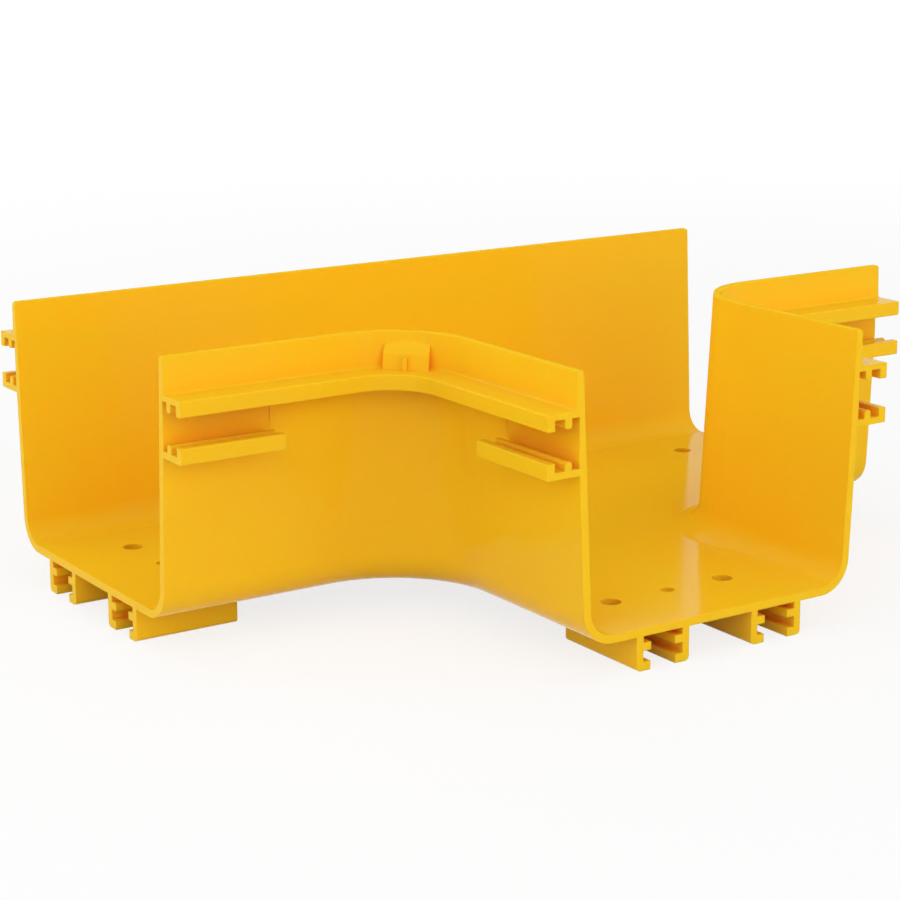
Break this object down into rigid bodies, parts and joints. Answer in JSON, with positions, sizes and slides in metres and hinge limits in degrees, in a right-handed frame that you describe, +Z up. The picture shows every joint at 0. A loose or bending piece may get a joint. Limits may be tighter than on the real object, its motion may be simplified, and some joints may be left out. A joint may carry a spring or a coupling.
{
  "type": "fibre raceway tee fitting",
  "caption": "Moulded plastic tee fitting for an open fibre raceway: a straight trough with a side branch, coupler rails along its walls and slotted legs under its openings.",
  "frame": {"origin": "underside of the floor where the centre lines of the run and the branch cross, the centre of the run's fixing holes", "axes": "+X along the straight run, -Y out of the side branch, +Z up, out of the open top"},
  "size_m": [0.276, 0.1976, 0.0907],
  "materials": {
    "moulded_plastic": "glossy moulded yellow"
  },
  "bodies": {
    "root": {"tee_body": "moulded_plastic"}
  },
  "joints": []
}
